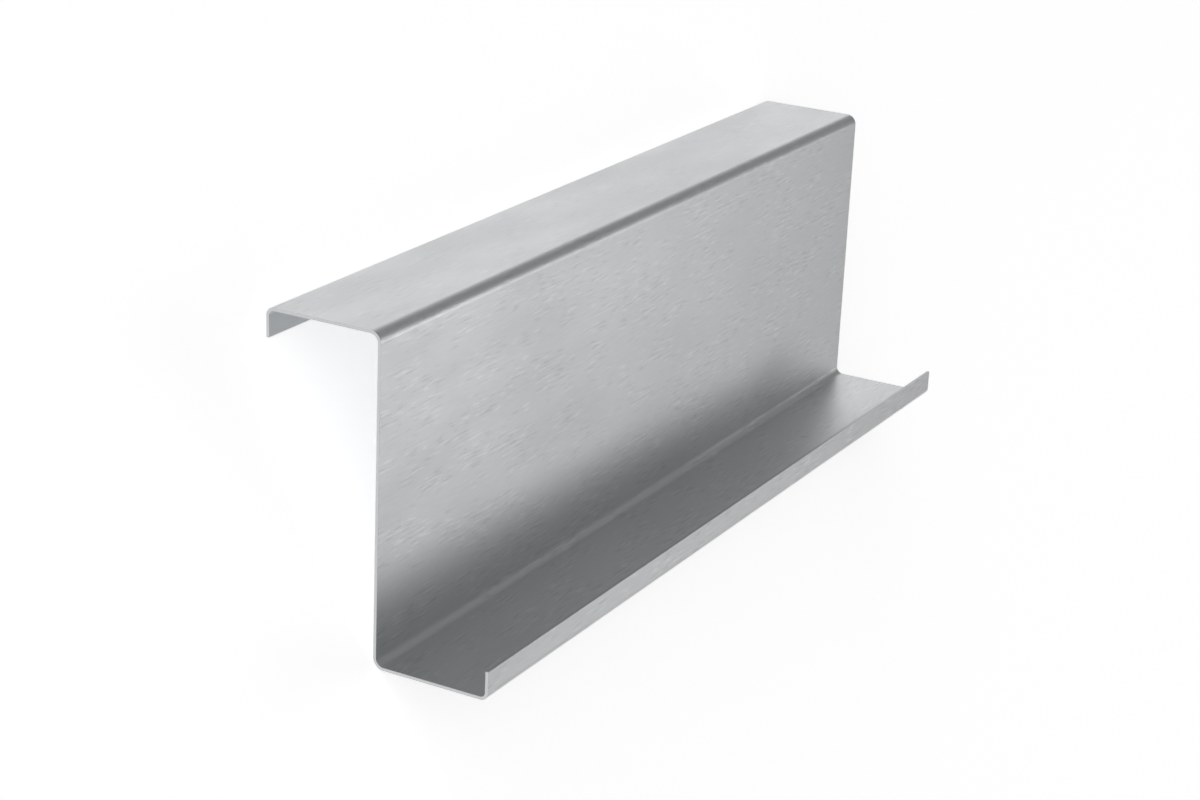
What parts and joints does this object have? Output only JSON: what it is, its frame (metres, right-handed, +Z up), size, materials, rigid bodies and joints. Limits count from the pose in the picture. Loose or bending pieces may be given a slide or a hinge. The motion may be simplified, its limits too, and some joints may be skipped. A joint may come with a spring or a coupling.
{
  "type": "z purlin",
  "caption": "Short length of lipped Z purlin in bright galvanised steel sheet, folded into a deep web, opposed flanges and turned lips, with plain sawn ends.",
  "frame": {"origin": "on the floor, under the middle of the purlin's box as it lies at rest on its bottom fold and the edge of its top lip", "axes": "+X along the purlin's length, towards the end that is far away in the picture; +Z up from the floor; +Y across, from the bottom flange to the top flange"},
  "size_m": [0.62, 0.2394, 0.0749],
  "materials": {
    "galvanised_sheet": "bright galvanised sheet with a fine brushed grain along its length"
  },
  "bodies": {
    "root": {"z_purlin": "galvanised_sheet"}
  },
  "joints": []
}
